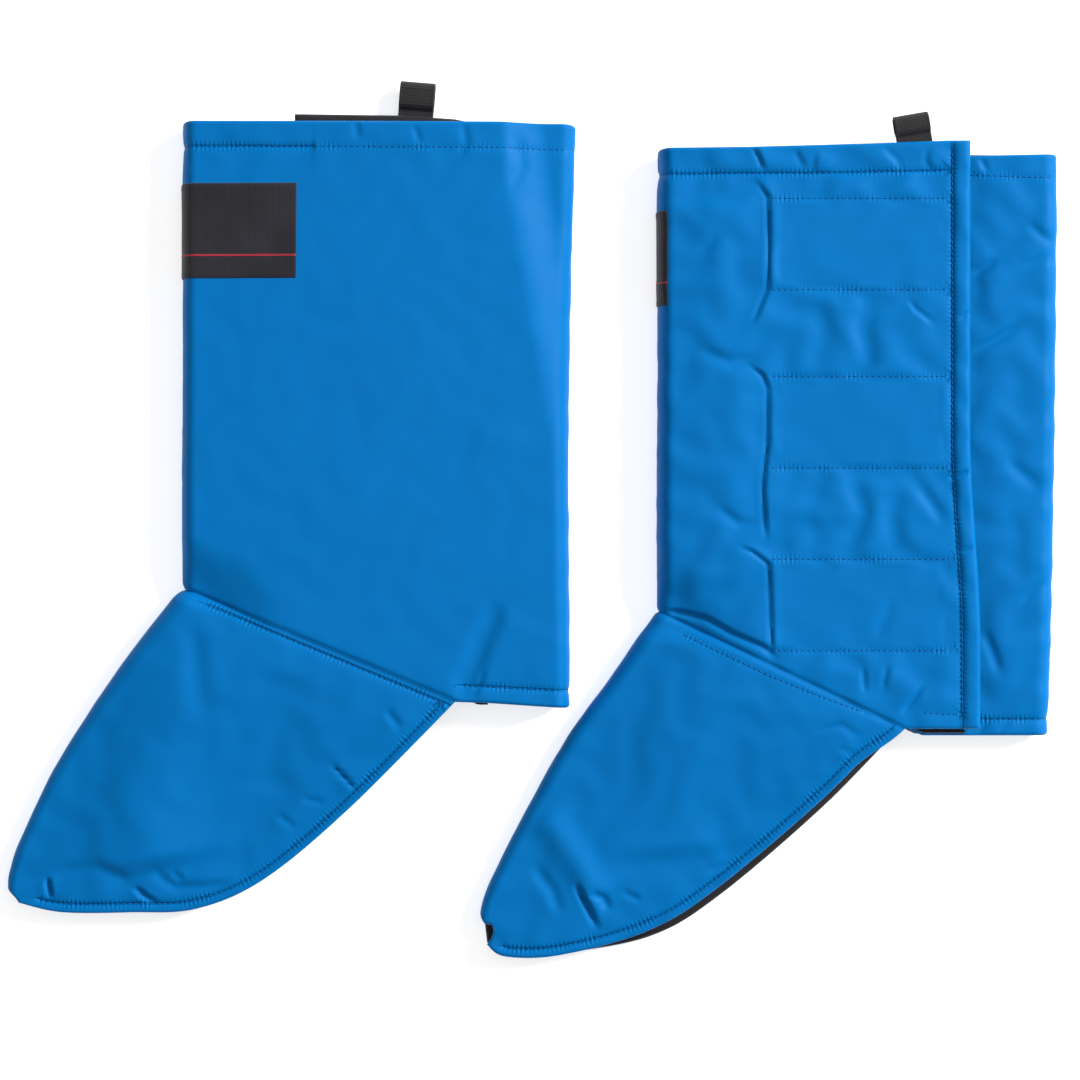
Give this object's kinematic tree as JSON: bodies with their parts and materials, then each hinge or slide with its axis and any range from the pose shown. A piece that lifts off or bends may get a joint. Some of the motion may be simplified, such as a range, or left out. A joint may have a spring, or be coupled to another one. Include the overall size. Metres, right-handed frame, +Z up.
{
  "type": "cryogenic gaiters",
  "caption": "Pair of quilted blue protective gaiters laid flat: wrapped leg, foot cover open below, hook-and-loop flap and hanging loop.",
  "frame": {"origin": "middle of the pair's footprint, on the table", "axes": "+X across the pair from the left gaiter to the right one, +Y up the legs towards the top hems, +Z up off the table"},
  "size_m": [0.578, 0.4836, 0.0242],
  "materials": {
    "shell_fabric": "smooth blue coated nylon, soft sheen",
    "insulation": "off-white felted batting",
    "lining_fabric": "black plain-weave lining",
    "hook_tape": "black hook tape",
    "loop_tape": "black brushed loop tape",
    "webbing": "black ribbed webbing",
    "label": "charcoal woven label with one red line"
  },
  "bodies": {
    "right_leg": {"right_leg_shell": "shell_fabric", "right_leg_insulation": "insulation", "right_leg_lining": "lining_fabric", "right_loop_panel": "loop_tape", "right_hook_patch_middle_front": "hook_tape", "right_hook_patch_lower_front": "hook_tape", "right_label": "label"},
    "right_flap": {"right_flap_shell": "shell_fabric", "right_flap_insulation": "insulation", "right_flap_lining": "lining_fabric", "right_flap_edge_roll": "shell_fabric", "right_hook_patch_upper": "hook_tape", "right_hook_patch_middle": "hook_tape", "right_hook_patch_lower": "hook_tape", "right_hanging_loop_tail": "webbing"},
    "right_vamp": {"right_vamp_shell": "shell_fabric", "right_vamp_insulation": "insulation", "right_vamp_lining": "lining_fabric"},
    "right_hanging_loop": {"right_hanging_loop": "webbing"},
    "left_leg": {"left_leg_shell": "shell_fabric", "left_leg_insulation": "insulation", "left_leg_lining": "lining_fabric", "left_loop_panel": "loop_tape", "left_hook_patch_middle_front": "hook_tape", "left_hook_patch_lower_front": "hook_tape", "left_label": "label"},
    "left_flap": {"left_flap_shell": "shell_fabric", "left_flap_insulation": "insulation", "left_flap_lining": "lining_fabric", "left_flap_edge_roll": "shell_fabric", "left_hook_patch_upper": "hook_tape", "left_hook_patch_middle": "hook_tape", "left_hook_patch_lower": "hook_tape", "left_hanging_loop_tail": "webbing"},
    "left_vamp": {"left_vamp_shell": "shell_fabric", "left_vamp_insulation": "insulation", "left_vamp_lining": "lining_fabric"},
    "left_hanging_loop": {"left_hanging_loop": "webbing"}
  },
  "joints": [
    {"name": "right_flap_fold", "type": "hinge", "parent": "right_leg", "child": "right_flap", "pos_m": [0.2035, -0.1154, 0.02416], "axis": [0.3457, -0.9383, 0], "range_deg": [0, 120]},
    {"name": "right_ankle_fold", "type": "hinge", "parent": "right_leg", "child": "right_vamp", "pos_m": [0.136, -0.08316, 0.02416], "axis": [-0.9023, 0.4311, 0], "range_deg": [0, 50]},
    {"name": "right_hanging_loop_flip", "type": "hinge", "parent": "right_flap", "child": "right_hanging_loop", "pos_m": [0.209, 0.2091, 0.01966], "axis": [0.9856, 0.1692, 0], "range_deg": [0, 60]},
    {"name": "left_flap_fold", "type": "hinge", "parent": "left_leg", "child": "left_flap", "pos_m": [-0.0425, -0.1004, 0.00006], "axis": [-0.3862, 0.9224, 0], "range_deg": [0, 120]},
    {"name": "left_ankle_fold", "type": "hinge", "parent": "left_leg", "child": "left_vamp", "pos_m": [-0.117, -0.06965, 0.02416], "axis": [-0.9244, 0.3815, 0], "range_deg": [0, 50]},
    {"name": "left_hanging_loop_flip", "type": "hinge", "parent": "left_flap", "child": "left_hanging_loop", "pos_m": [-0.0648, 0.22409, 0.00746], "axis": [0.9968, -0.0799, 0], "range_deg": [0, 60]},
    {"name": "left_lift", "type": "slide", "parent": "right_leg", "child": "left_leg", "axis": [0, 0, 1], "range_m": [0, 0.2]}
  ]
}
